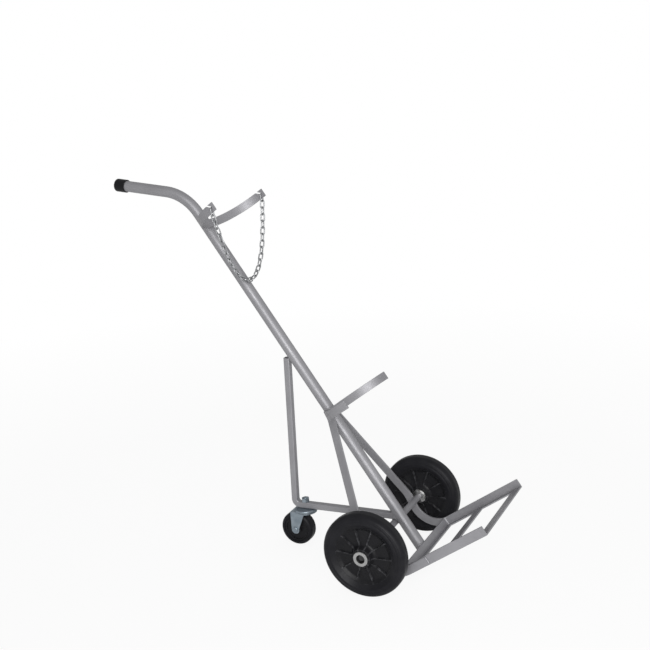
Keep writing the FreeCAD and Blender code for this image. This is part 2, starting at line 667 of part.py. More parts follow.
# Chain of round-wire links, hung from both hook notches.
def chain_link():
    """One link along local X, flat in local X and Y."""
    wire = val("chain_wire") / 2
    bow = val("chain_link_width") / 2 - wire
    run = (val("chain_pitch") + val("chain_slack") + 2 * wire) / 2 - bow
    axis_x = FreeCAD.Vector(1, 0, 0)
    solid = None
    for sign in (1, -1):
        rod = Part.makeCylinder(wire, 2 * run, FreeCAD.Vector(-run, sign * bow, 0), axis_x)
        end = Part.makeTorus(bow, wire, FreeCAD.Vector(0, 0, 0), FreeCAD.Vector(0, 0, 1), -180, 180, 180)
        end.rotate(FreeCAD.Vector(0, 0, 0), FreeCAD.Vector(0, 0, 1), -90 * sign)
        end.translate(axis_x * (run * sign))
        solid = rod.fuse(end) if solid is None else solid.fuse(rod).fuse(end)
    return solid.removeSplitter()


def hanging_joints():
    """Points where links meet, in the hanging plane, from one hook to the other."""
    pitch, links = val("chain_pitch"), int(val("chain_link_count"))
    half = val("cradle_half")
    drop = val("chain_wire") / 2
    length = pitch * (links - 2)
    low, high = half / 20, half * 20
    for _ in range(80):
        scale = (low + high) / 2
        if 2 * scale * math.sinh(half / scale) > length:
            low = scale
        else:
            high = scale
    joints = [(half, -drop), (half, -drop - pitch)]
    arc = -length / 2
    rise = scale * math.cosh(half / scale)
    middle = []
    for _ in range(links - 3):
        arc += pitch
        y = scale * math.asinh(arc / scale)
        middle.append((-y, -drop - pitch - rise + scale * math.cosh(y / scale)))
    joints += middle
    joints += [(-half, -drop - pitch), (-half, -drop)]
    return joints


def build_chain():
    joints = hanging_joints()
    pattern = chain_link()
    links = []
    for i, (first, last) in enumerate(zip(joints, joints[1:])):
        link = pattern.copy()
        if i % 2:
            link.rotate(FreeCAD.Vector(0, 0, 0), FreeCAD.Vector(1, 0, 0), 90)
        link.rotate(FreeCAD.Vector(0, 0, 0), FreeCAD.Vector(0, 1, 0), 90)
        lean = math.degrees(math.atan2(last[0] - first[0], first[1] - last[1]))
        link.rotate(FreeCAD.Vector(0, 0, 0), FreeCAD.Vector(1, 0, 0), lean)
        link.translate(FreeCAD.Vector(0, (first[0] + last[0]) / 2, (first[1] + last[1]) / 2))
        links.append(link)
    chain = doc.addObject("Part::Feature", "chain")
    chain.Label = "chain"
    chain.Shape = Part.makeCompound(links)
    place(chain, "hook_x", "0", "hook_z", angle="-chain_lean")
    keep(chain)


def write_parts():
    """Check each node and write it as its own file."""
    doc.recompute()
    os.makedirs("parts", exist_ok=True)
    for obj in doc.Objects:
        if "Invalid" in obj.State or "Error" in obj.State:
            raise RuntimeError("%s is %s" % (obj.Label, obj.State))
    for node in NODES:
        shape = node.Shape
        if shape.isNull() or not shape.isValid() or not shape.Solids:
            raise RuntimeError("%s has no valid solid" % node.Label)
        shape.exportStep("parts/%s.step" % node.Label)


build_spine()
build_cradles()
build_toe()
build_legs()
build_strut()
build_axle()
build_wheel("left", "wheel_y", "0")
build_wheel("right", "-wheel_y", "180")
build_caster_mount()
build_fork()
build_caster_wheel()
build_chain()
write_parts()
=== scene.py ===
"""Looks for the gas cylinder cart: finishes, weld seams, studio and camera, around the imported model."""
import json
import math

import bmesh
import bpy
from mathutils import Matrix, Vector


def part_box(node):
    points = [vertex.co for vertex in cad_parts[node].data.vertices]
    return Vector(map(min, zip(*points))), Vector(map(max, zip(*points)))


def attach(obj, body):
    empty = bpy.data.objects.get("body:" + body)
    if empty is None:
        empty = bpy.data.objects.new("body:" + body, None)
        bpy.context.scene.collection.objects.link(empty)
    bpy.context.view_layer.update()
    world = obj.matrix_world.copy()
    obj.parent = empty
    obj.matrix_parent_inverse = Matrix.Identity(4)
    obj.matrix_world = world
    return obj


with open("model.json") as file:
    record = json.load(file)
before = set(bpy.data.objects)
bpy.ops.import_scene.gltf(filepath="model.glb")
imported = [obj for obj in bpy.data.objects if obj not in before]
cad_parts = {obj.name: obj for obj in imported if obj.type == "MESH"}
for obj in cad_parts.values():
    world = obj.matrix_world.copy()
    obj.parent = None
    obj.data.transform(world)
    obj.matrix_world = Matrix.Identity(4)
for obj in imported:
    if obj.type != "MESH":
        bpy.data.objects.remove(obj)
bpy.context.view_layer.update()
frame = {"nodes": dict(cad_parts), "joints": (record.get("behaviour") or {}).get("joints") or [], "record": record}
nodes = frame["nodes"]
MM = 0.001

# Finishes, as linear colours.
PAINT_LIGHT = (0.304, 0.302, 0.318, 1)
PAINT_DARK = (0.262, 0.260, 0.275, 1)
# Pale edge colour of the enamel: a painted highlight.
PAINT_EDGE_HIGHLIGHT = (0.400, 0.400, 0.420, 1)
PAINT_SPECK = (0.180, 0.180, 0.190, 1)
ZINC_LIGHT = (0.370, 0.425, 0.470, 1)
ZINC_DARK = (0.270, 0.320, 0.365, 1)
CHAIN_LIGHT = (0.560, 0.570, 0.580, 1)
CHAIN_DARK = (0.300, 0.305, 0.315, 1)
STEEL_LIGHT = (0.560, 0.560, 0.550, 1)
STEEL_DARK = (0.420, 0.420, 0.420, 1)
# Black oxide steel; on the axle's bare journals its near-black stands partly for painted shade inside the hubs.
OXIDE_LIGHT = (0.040, 0.040, 0.042, 1)
OXIDE_DARK = (0.018, 0.018, 0.019, 1)
RUBBER_LIGHT = (0.0145, 0.0145, 0.0170, 1)
RUBBER_DARK = (0.0095, 0.0095, 0.0115, 1)
PLASTIC_LIGHT = (0.0125, 0.0125, 0.0140, 1)
PLASTIC_DARK = (0.0095, 0.0095, 0.0108, 1)
PLASTIC_EDGE = (0.045, 0.045, 0.049, 1)
RIB_EDGE = (0.060, 0.060, 0.066, 1)
# Pale colour of the wheel rims' edges and rib crests: a painted highlight.
CREST_HIGHLIGHT = (0.085, 0.085, 0.092, 1)

# Noise: the range that most values fall in.
NOISE_RANGE = (0.3, 0.7)

# Where an edge shows: the match between its rounded and its plain normal.
EDGE_SAMPLES = 6
EDGE_RANGE = (0.995, 0.80)

# Enamel: noise scales per metre, and how far each effect goes.
PAINT_ROUNDING = 1.0 * MM
PAINT_ROUGH = (0.38, 0.52)
PAINT_METAL = 0.40
PAINT_COAT = 0.15
PAINT_COAT_ROUGH = 0.40
CLOUD_SCALE = 9
CLOUD_DETAIL = 5
CLOUD_RANGE = (0.32, 0.68)
# Patches of painted highlight along the enamel's edges.
EDGE_HIGHLIGHT_SCALE = 60
EDGE_HIGHLIGHT_DETAIL = 3
EDGE_HIGHLIGHT_RANGE = (0.35, 0.7)
EDGE_HIGHLIGHT_SHARE = 0.55
NIB_SCALE = 340
NIB_DETAIL = 1
NIB_RANGE = (0.735, 0.78)
NIB_SHARE = 0.5
PEEL_SCALE = 520
PEEL_DETAIL = 1
PEEL_DEPTH = 0.05 * MM
PEEL_STRENGTH = 0.09
GLOSS_SCALE = 35
GLOSS_DETAIL = 4

# Axle: enamel in the middle, bare ends in metres from the middle.
AXLE_ROUGH = (0.36, 0.5)
AXLE_METAL = 0.25
AXLE_PEEL_STRENGTH = 0.22
JOURNAL_START = 0.194
JOURNAL_RAGGED = 0.004
JOURNAL_SCALE = 160
JOURNAL_DETAIL = 3

# Plated steel.
PLATE_ROUNDING = 0.5 * MM
PLATE_DETAIL = 5
PLATE_WEAR_SHARE = 0.5
PLATE_GLOSS_STEP = 0.16
PLATE_GLOSS_FINER = 3
PLATE_GLOSS_DETAIL = 3
DRAWN_SCALE = 900
DRAWN_DETAIL = 2
DRAWN_STRETCH = (1, 1, 0.12)
DRAWN_DEPTH = 0.02 * MM
DRAWN_STRENGTH = 0.25

# Rubber and plastic.
PLAIN_SHINE = 0.13
BLOOM_SCALE = 26
BLOOM_DETAIL = 5
SCUFF_SCALE = 90
SCUFF_DETAIL = 3
SCUFF_RANGE = (0.4, 0.7)
SCUFF_SHARE = 0.7
GRAIN_DETAIL = 3
GRAIN_STRENGTH = 0.35
MATT_SCALE = 70
MATT_DETAIL = 4
MATT_SPREAD = (-0.07, 0.09)
RUBBER_LOOK = {"rounding": 0.8 * MM, "rough": 0.35, "grain": 480, "relief": 0.08 * MM}
PLASTIC_LOOK = {"rounding": 1.6 * MM, "rough": 0.28, "grain": 700, "relief": 0.05 * MM}

# Bloom scale per metre and least roughness of each plating.
ZINC_LOOK = (55, 0.30)
STEEL_LOOK = (120, 0.24)
OXIDE_LOOK = (80, 0.36)
CHAIN_LOOK = (160, 0.26)

# Painted highlight on the ribs round the axle: each rib's crest and sides are lightened.
RIB_COUNT = 10
RIB_HALF = 1.5 * MM
RIB_BLUR = 0.7 * MM

# Camera, in metres and degrees; the image is 650 pixels square.
CAMERA_SPOT = (1.39844, -2.59702, 1.47637)
CAMERA_AZIMUTH = 26.88
CAMERA_ELEVATION = 14.62
CAMERA_ROLL = -2.84
CAMERA_LENS = 56.98
CAMERA_SENSOR = 36

# Studio.
FLOOR_REACH = 14.0
FLOOR_FADE = (1.2, 3.2)
FLOOR_GLOW = 0.89
FLOOR_COLOUR = (0.93, 0.93, 0.93, 1)
SKY_LIGHT = (0.30, 0.68)
KEY_LIGHT = 1.3
KEY_ANGLE = 34.0
KEY_AZIMUTH = 18.0
KEY_ELEVATION = 24.0
FILL_POWER = 22.0
FILL_SPOT = (1.60, -1.75, 0.70)
FILL_AIM = (0.30, 0.0, 0.25)
FILL_SIZE = 1.9


def add(mat, kind, settings=None, **inputs):
    """Add a shader node; an input takes a number, a colour or another node's output."""
    node = mat.node_tree.nodes.new("ShaderNode" + kind)
    for key, value in (settings or {}).items():
        setattr(node, key, value)
    for key, value in inputs.items():
        plug(mat, node.inputs[key.replace("_", " ")], value)
    return node


def plug(mat, socket, value):
    """Link another node's output to a socket, or set its value."""
    if isinstance(value, bpy.types.NodeSocket):
        mat.node_tree.links.new(value, socket)
    else:
        socket.default_value = value


def noise(mat, coords, scale, detail=2.0, stretch=(1, 1, 1)):
    if stretch != (1, 1, 1):
        coords = add(mat, "Mapping", Vector=coords, Scale=stretch).outputs[0]
    return add(mat, "TexNoise", Vector=coords, Scale=scale, Detail=detail).outputs[0]


def span(mat, value, low, high, to_low=0.0, to_high=1.0):
    """Stretch a value's range onto another range."""
    node = add(mat, "MapRange", Value=value, From_Min=low, From_Max=high, To_Min=to_low, To_Max=to_high)
    return node.outputs[0]


def mix(mat, factor, first, second):
    node = add(mat, "Mix", {"data_type": "RGBA"})
    for socket, value in zip((node.inputs[0], node.inputs[6], node.inputs[7]), (factor, first, second)):
        plug(mat, socket, value)
    return node.outputs[2]


def math_node(mat, operation, first, second):
    node = add(mat, "Math", {"operation": operation})
    plug(mat, node.inputs[0], first)
    plug(mat, node.inputs[1], second)
    return node.outputs[0]


def soft_edges(mat, radius):
    """Normals rounded over the edges, and a mask of where the edges are."""
    rounded = add(mat, "Bevel", {"samples": EDGE_SAMPLES}, Radius=radius).outputs[0]
    plain = add(mat, "NewGeometry").outputs["Normal"]
    match = add(mat, "VectorMath", {"operation": "DOT_PRODUCT"})
    plug(mat, match.inputs[0], rounded)
    plug(mat, match.inputs[1], plain)
    return rounded, span(mat, match.outputs["Value"], *EDGE_RANGE)


def bump(mat, height, depth, strength, normal=None):
    node = add(mat, "Bump", Height=height, Distance=depth, Strength=strength)
    if normal is not None:
        plug(mat, node.inputs["Normal"], normal)
    return node.outputs[0]


def new_material(name):
    mat = bpy.data.materials.new(name)
    mat.use_nodes = True
    shader = mat.node_tree.nodes["Principled BSDF"]
    coords = add(mat, "TexCoord").outputs["Object"]
    return mat, shader, coords


def enamel_cloud(mat, coords):
    return span(mat, noise(mat, coords, CLOUD_SCALE, CLOUD_DETAIL), *CLOUD_RANGE)


def enamel_rough(mat, coords, limits):
    return span(mat, noise(mat, coords, GLOSS_SCALE, GLOSS_DETAIL), *NOISE_RANGE, *limits)


def enamel_peel(mat, coords, strength, rounded):
    return bump(mat, noise(mat, coords, PEEL_SCALE, PEEL_DETAIL), PEEL_DEPTH, strength, rounded)


def paint():
    """Satin stove enamel: soft tone clouds, orange peel, patchy pale edges that are a painted highlight, and a few
    dust nibs.
    """
    mat, shader, coords = new_material("grey_enamel")
    rounded, edge = soft_edges(mat, PAINT_ROUNDING)
    colour = mix(mat, enamel_cloud(mat, coords), PAINT_DARK, PAINT_LIGHT)
    # Painted highlight: patches of the edges are lightened towards the pale edge colour.
    edge_highlight_patches = span(mat, noise(mat, coords, EDGE_HIGHLIGHT_SCALE, EDGE_HIGHLIGHT_DETAIL), *EDGE_HIGHLIGHT_RANGE)
    patchy = math_node(mat, "MULTIPLY", edge, edge_highlight_patches)
    colour = mix(mat, math_node(mat, "MULTIPLY", patchy, EDGE_HIGHLIGHT_SHARE), colour, PAINT_EDGE_HIGHLIGHT)
    nib = span(mat, noise(mat, coords, NIB_SCALE, NIB_DETAIL), *NIB_RANGE)
    colour = mix(mat, math_node(mat, "MULTIPLY", nib, NIB_SHARE), colour, PAINT_SPECK)
    plug(mat, shader.inputs["Base Color"], colour)
    plug(mat, shader.inputs["Roughness"], enamel_rough(mat, coords, PAINT_ROUGH))
    plug(mat, shader.inputs["Normal"], enamel_peel(mat, coords, PEEL_STRENGTH, rounded))
    shader.inputs["Metallic"].default_value = PAINT_METAL
    shader.inputs["Coat Weight"].default_value = PAINT_COAT
    shader.inputs["Coat Roughness"].default_value = PAINT_COAT_ROUGH
    return mat


def axle_finish():
    """Enamel between the legs, bare oiled steel inside the hubs, near-black partly as painted shade of the hub
    recesses.
    """
    mat, shader, coords = new_material("axle_finish")
    rounded, edge = soft_edges(mat, PAINT_ROUNDING)
    cloud = enamel_cloud(mat, coords)
    enamelled = mix(mat, cloud, PAINT_DARK, PAINT_LIGHT)
    # Bare journals: oiled steel, kept near-black as painted shade inside the hub recess as well.
    oiled_and_shaded = mix(mat, cloud, OXIDE_DARK, OXIDE_LIGHT)
    side = add(mat, "SeparateXYZ", Vector=coords).outputs["Y"]
    reach = math_node(mat, "ABSOLUTE", side, 0.0)
    ragged = math_node(mat, "MULTIPLY", noise(mat, coords, JOURNAL_SCALE, JOURNAL_DETAIL), JOURNAL_RAGGED)
    border = math_node(mat, "ADD", reach, ragged)
    bare = span(mat, border, JOURNAL_START, JOURNAL_START + JOURNAL_RAGGED)
    colour = mix(mat, bare, enamelled, mix(mat, edge, oiled_and_shaded, OXIDE_LIGHT))
    plug(mat, shader.inputs["Base Color"], colour)
    plug(mat, shader.inputs["Roughness"], enamel_rough(mat, coords, AXLE_ROUGH))
    plug(mat, shader.inputs["Normal"], enamel_peel(mat, coords, AXLE_PEEL_STRENGTH, rounded))
    shader.inputs["Metallic"].default_value = AXLE_METAL
    return mat


def plated(name, light, dark, scale, gloss):
    """Bright plated steel: mottled bloom, fine drawing lines and worn bright edges."""
    mat, shader, coords = new_material(name)
    rounded, edge = soft_edges(mat, PLATE_ROUNDING)
    bloom = noise(mat, coords, scale, PLATE_DETAIL)
    colour = mix(mat, span(mat, bloom, *NOISE_RANGE), dark, light)
    colour = mix(mat, math_node(mat, "MULTIPLY", edge, PLATE_WEAR_SHARE), colour, light)
    lines = noise(mat, coords, DRAWN_SCALE, DRAWN_DETAIL, DRAWN_STRETCH)
    dull = noise(mat, coords, scale * PLATE_GLOSS_FINER, PLATE_GLOSS_DETAIL)
    plug(mat, shader.inputs["Base Color"], colour)
    plug(mat, shader.inputs["Roughness"], span(mat, dull, *NOISE_RANGE, gloss, gloss + PLATE_GLOSS_STEP))
    plug(mat, shader.inputs["Normal"], bump(mat, lines, DRAWN_DEPTH, DRAWN_STRENGTH, rounded))
    shader.inputs["Metallic"].default_value = 1.0
    return mat


def moulded(name, light, dark, scuff_and_highlight_colour, look, ribs=False):
    """Black rubber or plastic: mould grain, faint bloom and scuffed edges; on a wheel the edges and rib crests are
    lightened instead, as a painted highlight.
    """
    mat, shader, coords = new_material(name)
    rounded, edge = soft_edges(mat, look["rounding"])
    bloom = noise(mat, coords, BLOOM_SCALE, BLOOM_DETAIL)
    colour = mix(mat, span(mat, bloom, *NOISE_RANGE), dark, light)
    shader.inputs["Specular IOR Level"].default_value = PLAIN_SHINE
    if ribs:
        # On a wheel the rib crests join the edges in the painted highlight.
        edge = math_node(mat, "MAXIMUM", edge, rib_highlight_mask(mat, coords))
    patchy = span(mat, noise(mat, coords, SCUFF_SCALE, SCUFF_DETAIL), *SCUFF_RANGE)
    scuff_and_highlight = math_node(mat, "MULTIPLY", edge, patchy)
    colour = mix(mat, math_node(mat, "MULTIPLY", scuff_and_highlight, SCUFF_SHARE), colour, scuff_and_highlight_colour)
    height = noise(mat, coords, look["grain"], GRAIN_DETAIL)
    limits = [look["rough"] + step for step in MATT_SPREAD]
    rough = span(mat, noise(mat, coords, MATT_SCALE, MATT_DETAIL), *NOISE_RANGE, *limits)
    plug(mat, shader.inputs["Base Color"], colour)
    plug(mat, shader.inputs["Roughness"], rough)
    plug(mat, shader.inputs["Normal"], bump(mat, height, look["relief"], GRAIN_STRENGTH, rounded))
    return mat


def round_axle(mat, coords):
    """Distance from the main axle's line and the turn round it."""
    spot = add(mat, "VectorMath", {"operation": "SUBTRACT"})
    plug(mat, spot.inputs[0], coords)
    plug(mat, spot.inputs[1], AXLE_SPOT)
    place = add(mat, "SeparateXYZ", Vector=spot.outputs[0]).outputs
    across = math_node(mat, "MULTIPLY", place["X"], place["X"])
    upward = math_node(mat, "MULTIPLY", place["Z"], place["Z"])
    far = math_node(mat, "POWER", math_node(mat, "ADD", across, upward), 0.5)
    return far, math_node(mat, "ARCTAN2", place["Z"], place["X"])


def rib_highlight_mask(mat, coords):
    """Mask for the painted rib highlight: one on the web's ribs, fading out beside them."""
    far, turn = round_axle(mat, coords)
    share = math_node(mat, "MULTIPLY", turn, RIB_COUNT / math.tau)
    beside = math_node(mat, "SUBTRACT", share, math_node(mat, "ROUND", share, 0.0))
    arc = math_node(mat, "MULTIPLY", math_node(mat, "ABSOLUTE", beside, 0.0), math.tau / RIB_COUNT)
    return span(mat, math_node(mat, "MULTIPLY", arc, far), RIB_HALF + RIB_BLUR, RIB_HALF)


def dress():
    """Give every node of the model its finish."""
    enamel = paint()
    finishes = {
        "grey_paint": enamel,
        "rubber": moulded("black_rubber", RUBBER_LIGHT, RUBBER_DARK, PLASTIC_EDGE, RUBBER_LOOK),
        "black_plastic": moulded("black_plastic", PLASTIC_LIGHT, PLASTIC_DARK, RIB_EDGE, PLASTIC_LOOK),
        "zinc_steel": plated("zinc_plate", ZINC_LIGHT, ZINC_DARK, *ZINC_LOOK),
        "bright_steel": plated("turned_steel", STEEL_LIGHT, STEEL_DARK, *STEEL_LOOK),
        "dark_steel": plated("black_oxide", OXIDE_LIGHT, OXIDE_DARK, *OXIDE_LOOK),
    }
    # The wheel rims carry a painted highlight on their edges and rib crests.
    wheel = moulded("wheel_plastic", PLASTIC_LIGHT, PLASTIC_DARK, CREST_HIGHLIGHT, PLASTIC_LOOK, ribs=True)
    own = {
        "left_rim": wheel,
        "right_rim": wheel,
        "chain": plated("galvanised_chain", CHAIN_LIGHT, CHAIN_DARK, *CHAIN_LOOK),
        "axle": axle_finish(),
        "axle_washers": finishes["bright_steel"],
    }
    for entry in frame["record"]["subparts"]:
        node = nodes[entry["node"]]
        node.data.materials.clear()
        node.data.materials.append(own.get(entry["node"], finishes[entry["material_slot"]]))
    return enamel


# Spine pipe's own axes, read from the frame.
joint_spots = {joint["name"]: Vector(joint["pos_m"]) for joint in frame["joints"]}
rest_mount = frame["record"]["mounts"][0]
SPINE_UP = Vector(rest_mount["axis"]).normalized()
SPINE_OUT = Vector((SPINE_UP.z, 0, -SPINE_UP.x))
AXLE_RADIUS = (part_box("axle")[1].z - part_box("axle")[0].z) / 2
AXLE_SPOT = Vector((joint_spots["left_wheel_spin"].x, 0, joint_spots["left_wheel_spin"].z))
PIPE_RADIUS = (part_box("spine_tube")[1].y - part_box("spine_tube")[0].y) / 2
SPINE_SPOT = AXLE_SPOT + SPINE_OUT * (PIPE_RADIUS + AXLE_RADIUS)
SEAM_RADIUS = 2.3 * MM
SEAM_STEP = 0.8 * MM
SEAM_PITCH = 2.6 * MM
SEAM_INSET = 1.0 * MM
SEAM_SIDES = 10
SEAM_RIPPLE = 0.16
SEAM_TIP = 0.45
SEAM_TAPER = 0.25
SKIN_BAND = 0.15 * MM
STRIP_SEAM_SIDE = 7.0 * MM
STRIP_SEAM_OUT = PIPE_RADIUS - 0.7 * MM
STRIP_SEAM_RADIUS = 2.0 * MM
LEG_SEAM_RUN = 42 * MM
LEG_LEAN = 6.84
LEG_END_SEAM_RADIUS = 3.6 * MM
LEG_TOP_RUN = 24 * MM
LEG_TOP_BAND = 4 * MM
LEG_TOP_LEAN = math.tan(math.radians(7.4))
LEG_TOP_SIDE = 13.9 * MM
LEG_TOP_SEAM_RADIUS = 3.2 * MM
LEG_NOTCH_TURN = 50
LEG_NOTCH_POINTS = 16
AXLE_SEAM_HALF = 9.0 * MM
AXLE_SEAM_GAP = 1.4 * MM
AXLE_SEAM_SINK = 0.8 * MM
AXLE_SEAM_STEP = 6.0 * MM
AXLE_SEAM_POINTS = 12


def spine_point(out, side, along):
    """A point given by its reach from the spine's axis, its side offset and its place up the spine."""
    return SPINE_SPOT + SPINE_OUT * out + Vector((0, side, 0)) + SPINE_UP * along


def spine_place(point):
    reach = point - SPINE_SPOT
    return reach.dot(SPINE_OUT), reach.y, reach.dot(SPINE_UP)


def places_of(node):
    return [spine_place(vertex.co) for vertex in nodes[node].data.vertices]


def reach_of(node, axis):
    """Least and greatest place of a node along one of the spine's axes."""
    values = [place[axis] for place in places_of(node)]
    return min(values), max(values)


def resample(path, step, closed):
    """Points at even steps along a line."""
    corners = list(path) + ([path[0]] if closed else [])
    points = []
    for first, last in zip(corners, corners[1:]):
        count = max(1, round((last - first).length / step))
        points += [first.lerp(last, i / count) for i in range(count)]
    return points if closed else points + [corners[-1]]


def painted_piece(name, work, enamel):
    """Turn a finished work mesh into a smooth painted piece that rides on the frame."""
    bmesh.ops.recalc_face_normals(work, faces=work.faces)
    for face in work.faces:
        face.smooth = True
    mesh = bpy.data.meshes.new(name)
    work.to_mesh(mesh)
    work.free()
    mesh.materials.append(enamel)
    piece = bpy.data.objects.new(name, mesh)
    bpy.context.scene.collection.objects.link(piece)
    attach(piece, "frame")


def seam(name, path, radius, closed, enamel):
    """A painted weld bead with the ripples of its run."""
    points = resample(path, SEAM_STEP, closed)
    work = bmesh.new()
    rings = []
    count = len(points)
    across = None
    for i, point in enumerate(points):
        ahead = points[(i + 1) % count] if closed else points[min(i + 1, count - 1)]
        behind = points[i - 1] if closed or i else points[0]
        run = (ahead - behind).normalized()
        across = run.orthogonal() if across is None else across - run * across.dot(run)
        across.normalize()
        up = run.cross(across)
        ripple = 1 - SEAM_RIPPLE + SEAM_RIPPLE * abs(math.sin(math.pi * i * SEAM_STEP / SEAM_PITCH))
        if not closed:
            ripple *= min(1.0, SEAM_TIP + SEAM_TAPER * min(i, count - 1 - i))
        ring = []
        for k in range(SEAM_SIDES):
            turn = math.tau * k / SEAM_SIDES
            reach = across * math.cos(turn) + up * math.sin(turn)
            ring.append(work.verts.new(point + reach * radius * ripple))
        rings.append(ring)
    pairs = list(zip(rings, rings[1:])) + ([(rings[-1], rings[0])] if closed else [])
    for first, last in pairs:
        for k in range(SEAM_SIDES):
            beside = (k + 1) % SEAM_SIDES
            work.faces.new((first[k], first[beside], last[beside], last[k]))
    if not closed:
        work.faces.new(list(reversed(rings[0])))
        work.faces.new(rings[-1])
    painted_piece(name, work, enamel)


def hull(points):
    """Outer loop of flat points, in order."""
    points = sorted(set(points))
    loops = []
    for row in (points, points[::-1]):
        chain = []
        for p in row:
            while len(chain) > 1 and ((chain[-1][0] - chain[-2][0]) * (p[1] - chain[-2][1])
                                      <= (chain[-1][1] - chain[-2][1]) * (p[0] - chain[-2][0])):
                chain.pop()
            chain.append(p)
        loops += chain[:-1]
    return loops


def coped_loop(node):
    """Where a tube's coped end lies on the spine pipe's skin."""
    flat = []
    for out, side, along in places_of(node):
        if abs(math.hypot(out, side) - PIPE_RADIUS) < SKIN_BAND:
            flat.append((math.atan2(side, out) % math.tau * PIPE_RADIUS, along))
    return flat


def wrap(flat):
    """Lay an unrolled point back on the pipe's skin."""
    turn = flat.x / PIPE_RADIUS
    return spine_point(PIPE_RADIUS * math.cos(turn), PIPE_RADIUS * math.sin(turn), flat.y)


def skin_path(flat):
    """Loop round unrolled points, laid back on the pipe's skin."""
    loop = [Vector((across, along, 0)) for across, along in hull(flat)]
    return [wrap(point) for point in resample(loop, SEAM_STEP, True)]


def weld_leg_top(node, sign, enamel):
    """Beads down both edges and over the end of a leg's flat top."""
    top = reach_of(node, 2)[1]
    tip = [place[0] for place in places_of(node) if place[2] > top - LEG_TOP_BAND]
    rear, front = min(tip) + SEAM_INSET, max(tip) - SEAM_INSET
    shoulder = top - (front - rear) * LEG_TOP_LEAN
    for edge, out, along in (("rear", rear, top), ("front", front, shoulder)):
        path = [spine_point(out - run * LEG_TOP_LEAN, sign * LEG_TOP_SIDE, along - run)
                for run in (SEAM_INSET, LEG_TOP_RUN)]
        seam("seam_%s_%s" % (node, edge), path, LEG_TOP_SEAM_RADIUS, False, enamel)
    path = [spine_point(out, sign * PIPE_RADIUS, along)
            for out, along in ((rear + LEG_TOP_BAND, top), (front - LEG_TOP_BAND, shoulder))]
    seam("seam_%s_top" % node, path, SEAM_RADIUS, False, enamel)


def weld_spine(enamel):
    """Beads where the legs, strut and strips meet the spine."""
    weld_leg_top("left_leg", 1, enamel)
    weld_leg_top("right_leg", -1, enamel)
    strut = coped_loop("rear_strut")
    middle = sum(along for _, along in strut) / len(strut)
    top = [place for place in strut if place[1] > middle]
    foot = [place for place in strut if place[1] <= middle]
    for end, part in (("top", top), ("foot", foot)):
        seam("seam_strut_" + end, skin_path(part), SEAM_RADIUS, True, enamel)
    for strip in ("upper_cradle", "lower_cradle", "toe_frame"):
        low, high = reach_of(strip, 2)
        for sign in (-1, 1):
            side = sign * STRIP_SEAM_SIDE
            path = [spine_point(STRIP_SEAM_OUT, side, along)
                    for along in (low + SEAM_INSET, high - SEAM_INSET)]
            seam("seam_%s_%d" % (strip, sign), path, STRIP_SEAM_RADIUS, False, enamel)


def weld_toe(enamel):
    """Beads on the toe bars and along the leg ends on the toe rails."""
    face = reach_of("toe_frame", 1)[1]
    for bar in ("toe_mid_bar", "toe_front_bar"):
        rear, front = reach_of(bar, 0)
        half = reach_of(bar, 1)[1]
        top = reach_of(bar, 2)[1]
        for sign in (-1, 1):
            path = [spine_point(out, sign * half, top - SEAM_INSET)
                    for out in (rear + SEAM_INSET, front - SEAM_INSET)]
            seam("seam_%s_%d" % (bar, sign), path, STRIP_SEAM_RADIUS, False, enamel)
    for node, sign in (("left_leg", 1), ("right_leg", -1)):
        end = reach_of(node, 0)[1]
        tip = [place[2] for place in places_of(node) if place[0] > end - SEAM_INSET]
        low, high = min(tip) + SEAM_INSET, max(tip) - SEAM_INSET
        side = sign * (face + SEAM_INSET)
        for edge, along in (("upper", high), ("lower", low)):
            path = [spine_point(out, side, along) for out in (end - LEG_SEAM_RUN, end - SEAM_INSET)]
            seam("seam_%s_%s" % (node, edge), path, SEAM_RADIUS, False, enamel)
        path = [spine_point(end + SEAM_INSET, side, along) for along in (low, high)]
        seam("seam_%s_end" % node, path, LEG_END_SEAM_RADIUS, False, enamel)


def weld_axle(enamel):
    """Beads where the spine, legs and strut sit on the axle."""
    lean = math.radians(LEG_LEAN)
    leg_out = SPINE_UP * math.sin(lean) - SPINE_OUT * math.cos(lean)
    strut_out = next(Vector(joint["axis"]) for joint in frame["joints"] if joint["name"] == "caster_turn")
    tube = reach_of("rear_strut", 1)[1]
    across = Vector((strut_out.z, 0, -strut_out.x))
    for sign in (-1, 1):
        spot = AXLE_SPOT + strut_out * (AXLE_RADIUS - AXLE_SEAM_SINK) + across * sign * AXLE_SEAM_STEP
        path = [spot + Vector((0, side, 0)) for side in (SEAM_INSET - tube, tube - SEAM_INSET)]
        seam("seam_axle_strut_%d" % sign, path, STRIP_SEAM_RADIUS, False, enamel)
    across = Vector((leg_out.z, 0, -leg_out.x))
    rail, leg = reach_of("toe_frame", 1)[1], reach_of("left_leg", 1)[1]
    for name, side in (("left_in", rail), ("left_out", leg), ("right_in", -rail), ("right_out", -leg)):
        path = []
        for i in range(LEG_NOTCH_POINTS + 1):
            turn = math.radians(LEG_NOTCH_TURN * (2 * i / LEG_NOTCH_POINTS - 1))
            path.append(AXLE_SPOT + (leg_out * math.cos(turn) + across * math.sin(turn)) * AXLE_RADIUS
                        + Vector((0, side, 0)))
        seam("seam_axle_" + name, path, STRIP_SEAM_RADIUS, False, enamel)
    for sign in (-1, 1):
        path = []
        for i in range(AXLE_SEAM_POINTS + 1):
            side = AXLE_SEAM_HALF * (2 * i / AXLE_SEAM_POINTS - 1)
            out = -math.sqrt(PIPE_RADIUS ** 2 - side ** 2) - AXLE_SEAM_GAP
            path.append(spine_point(out, side, sign * AXLE_SEAM_STEP))
        seam("seam_axle_spine_%d" % sign, path, SEAM_RADIUS, False, enamel)


